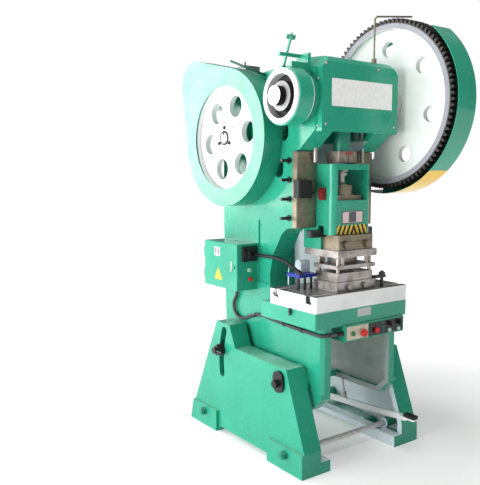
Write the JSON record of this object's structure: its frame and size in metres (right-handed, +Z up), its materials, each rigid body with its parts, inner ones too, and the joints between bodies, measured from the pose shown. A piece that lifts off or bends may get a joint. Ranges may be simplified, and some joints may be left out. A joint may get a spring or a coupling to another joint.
{
  "type": "punch press",
  "caption": "Open-back inclinable mechanical punch press on a two-leg stand, with flywheel, geared crank, guided slide, die set, foot pedal and electric controls.",
  "frame": {"origin": "centre of the four foundation bolt holes, on the floor", "axes": "+X to the operator's right, +Y to the back, +Z up"},
  "size_m": [0.7866, 1.22, 1.962],
  "materials": {
    "green_paint": "gloss machine enamel",
    "white_paint": "gloss enamel",
    "black_paint": "black oxide and enamel",
    "bright_steel": "machined and ground steel",
    "oiled_steel": "oiled tool steel",
    "gear_iron": "machined teeth with grease, web painted pale",
    "bronze": "bearing bronze",
    "motor_grey": "finned casing",
    "belt_rubber": "moulded rubber",
    "black_plastic": "moulded plastic",
    "red_plastic": "moulded plastic",
    "green_plastic": "moulded plastic",
    "lamp_plastic": "translucent lens"
  },
  "bodies": {
    "stand": {"stand_left": "green_paint", "stand_right": "green_paint", "tie_rods": "bright_steel", "pivot_pins": "black_paint", "pedal_spring": "bright_steel"},
    "pedal": {"pedal_lever": "white_paint", "pedal_tread": "belt_rubber"},
    "pull_rod": {"pull_rod": "bright_steel"},
    "frame": {"c_frame": "green_paint", "clamp_bolts": "black_paint", "bolster": "bright_steel", "gibs": "oiled_steel", "gib_screws": "black_paint", "bearing_bushes": "bronze", "head_cover": "green_paint", "brake_band": "green_paint", "brake_rod": "black_paint", "gear_guard": "green_paint", "belt_guard": "green_paint", "motor": "motor_grey", "motor_plate": "green_paint", "v_belts": "belt_rubber", "electrical_box": "green_paint", "isolator_base": "black_plastic", "control_panel": "green_paint", "indicator_lamps": "lamp_plastic", "conduit_feed": "black_plastic", "conduit_panel": "black_plastic", "conduit_fittings": "black_plastic", "oil_pipe": "bright_steel", "lower_die": "oiled_steel", "die_clamps": "black_paint", "sensor_box": "black_plastic", "stop_screws": "bright_steel", "trip_switch": "black_plastic"},
    "crank": {"crankshaft": "bright_steel", "brake_drum": "white_paint"},
    "rod": {"connecting_rod": "oiled_steel", "rod_cap": "oiled_steel"},
    "screw": {"adjusting_screw": "bright_steel"},
    "ram": {"slide": "green_paint", "shank_clamp": "oiled_steel", "ball_seat": "oiled_steel", "upper_die": "oiled_steel", "trip_dog": "red_plastic"},
    "knockout": {"knockout_bar": "bright_steel"},
    "gear": {"bull_gear": "gear_iron"},
    "drive": {"drive_shaft": "bright_steel", "flywheel": "white_paint", "pinion": "gear_iron"},
    "motor_rotor": {"motor_pulley": "gear_iron"},
    "clutch": {"clutch_rod": "bright_steel"},
    "door": {"box_door": "green_paint"},
    "isolator": {"isolator_knob": "black_plastic"},
    "start": {"start_button": "red_plastic"},
    "green_push": {"green_button": "green_plastic"},
    "stop_push": {"e_stop": "red_plastic"},
    "red_push": {"red_button": "red_plastic"},
    "left_switch": {"selector_left": "black_plastic"},
    "right_switch": {"selector_right": "black_plastic"}
  },
  "joints": [
    {"name": "frame_tilt", "type": "hinge", "parent": "stand", "child": "frame", "pos_m": [0, -0.27, 0.367], "axis": [-1, 0, 0], "range_deg": [0, 14]},
    {"name": "crank_turn", "type": "hinge", "parent": "frame", "child": "crank", "pos_m": [0, -0.27, 1.57], "axis": [1, 0, 0], "range_deg": [0, 180]},
    {"name": "rod_swing", "type": "hinge", "parent": "crank", "child": "rod", "pos_m": [0, -0.27, 1.53], "axis": [1, 0, 0], "range_deg": [-180, 0]},
    {"name": "screw_turn", "type": "hinge", "parent": "rod", "child": "screw", "pos_m": [0, -0.27, 1.32], "axis": [0, 0, 1], "continuous": true},
    {"name": "ram_stroke", "type": "slide", "parent": "frame", "child": "ram", "axis": [0, 0, 1], "range_m": [0, 0.08]},
    {"name": "knockout_lift", "type": "slide", "parent": "ram", "child": "knockout", "axis": [0, 0, 1], "range_m": [0, 0.016]},
    {"name": "bull_gear_turn", "type": "hinge", "parent": "frame", "child": "gear", "pos_m": [0.31, -0.27, 1.57], "axis": [1, 0, 0], "continuous": true},
    {"name": "drive_shaft_turn", "type": "hinge", "parent": "frame", "child": "drive", "pos_m": [0, 0.17775, 1.42019], "axis": [1, 0, 0], "continuous": true},
    {"name": "motor_turn", "type": "hinge", "parent": "frame", "child": "motor_rotor", "pos_m": [-0.2, 0.43, 1.69], "axis": [1, 0, 0], "continuous": true},
    {"name": "pedal_press", "type": "hinge", "parent": "stand", "child": "pedal", "pos_m": [0.24, 0.095, 0.098], "axis": [1, 0, 0], "range_deg": [0, 3.5], "stiffness_Nm_per_rad": 60, "springref_deg": -17.19, "deforming": ["pedal_spring"]},
    {"name": "pull_rod_pivot", "type": "hinge", "parent": "pedal", "child": "pull_rod", "pos_m": [0.24, -0.075, 0.13224], "axis": [1, 0, 0], "range_deg": [-3.5, 0]},
    {"name": "clutch_pull", "type": "slide", "parent": "frame", "child": "clutch", "axis": [0, 0, -1], "range_m": [0, 0.012]},
    {"name": "door_swing", "type": "hinge", "parent": "frame", "child": "door", "pos_m": [-0.338, 0.326, 0.823], "axis": [0, 0, -1], "range_deg": [0, 100]},
    {"name": "isolator_turn", "type": "hinge", "parent": "frame", "child": "isolator", "pos_m": [-0.295, 0.02, 0.885], "axis": [0, -1, 0], "range_deg": [0, 90]},
    {"name": "start_press", "type": "slide", "parent": "frame", "child": "start", "axis": [0, 1, 0], "range_m": [0, 0.004], "stiffness_N_per_m": 500, "springref_m": -0.004},
    {"name": "green_press", "type": "slide", "parent": "frame", "child": "green_push", "axis": [0, 1, 0], "range_m": [0, 0.004], "stiffness_N_per_m": 500, "springref_m": -0.004},
    {"name": "stop_press", "type": "slide", "parent": "frame", "child": "stop_push", "axis": [0, 1, 0], "range_m": [0, 0.004], "stiffness_N_per_m": 500, "springref_m": -0.004},
    {"name": "red_press", "type": "slide", "parent": "frame", "child": "red_push", "axis": [0, 1, 0], "range_m": [0, 0.004], "stiffness_N_per_m": 500, "springref_m": -0.004},
    {"name": "left_switch_turn", "type": "hinge", "parent": "frame", "child": "left_switch", "pos_m": [0.152, -0.44, 0.59], "axis": [0, -1, 0], "range_deg": [-45, 45]},
    {"name": "right_switch_turn", "type": "hinge", "parent": "frame", "child": "right_switch", "pos_m": [0.212, -0.44, 0.59], "axis": [0, -1, 0], "range_deg": [-45, 45]}
  ],
  "couplings": [
    {"joint": "rod_swing", "follows": "crank_turn", "ratio": -1},
    {"joint": "ram_stroke", "follows": "crank_turn", "m_per_rad": 0.025464},
    {"joint": "drive_shaft_turn", "follows": "bull_gear_turn", "ratio": -3.9167},
    {"joint": "motor_turn", "follows": "bull_gear_turn", "ratio": -17.21},
    {"joint": "pull_rod_pivot", "follows": "pedal_press", "ratio": -1},
    {"joint": "clutch_pull", "follows": "pedal_press", "m_per_rad": 0.196}
  ]
}
